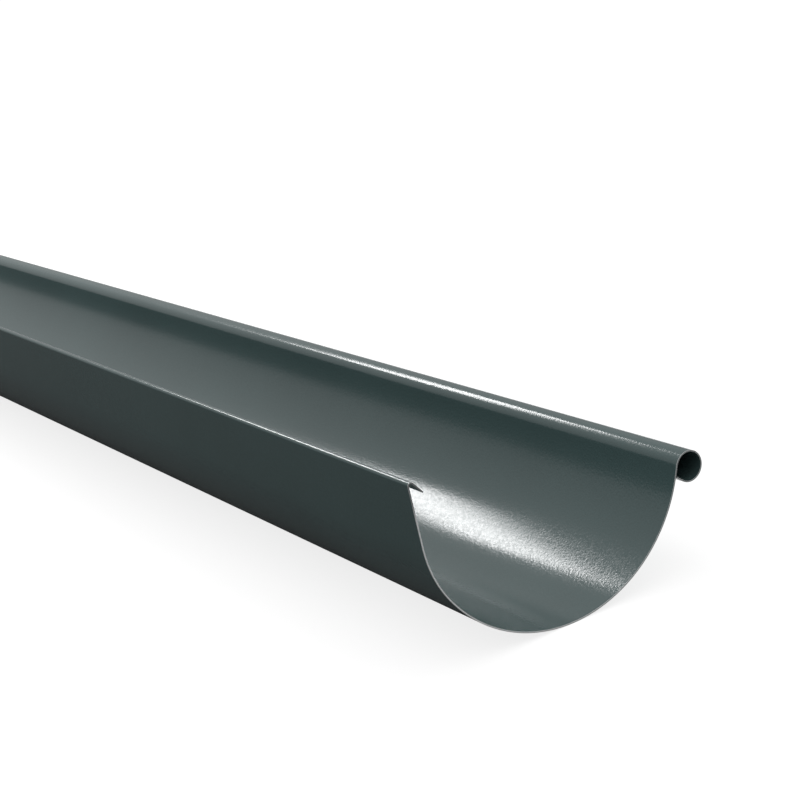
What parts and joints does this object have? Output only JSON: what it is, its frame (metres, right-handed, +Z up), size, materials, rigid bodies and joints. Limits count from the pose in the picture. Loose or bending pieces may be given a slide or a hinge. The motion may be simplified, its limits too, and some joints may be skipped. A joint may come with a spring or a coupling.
{
  "type": "half-round gutter section",
  "caption": "Open half-round roof gutter section in dark coated sheet steel, with a rolled bead along the front edge and an inward water fold along the back edge.",
  "frame": {"origin": "on the floor, below the middle of the gutter's bounding box, as it lies unheld", "axes": "+X along the gutter, +Y from the back wall toward the rolled front bead, +Z up from the floor; the section is rolled about 11.2 degrees about X toward the bead from the way it hangs on a roof"},
  "size_m": [2, 0.136, 0.0798],
  "materials": {
    "coated_steel": "satin, fine-grained coil coating in dark grey-green"
  },
  "bodies": {
    "root": {"gutter_section": "coated_steel"}
  },
  "joints": []
}
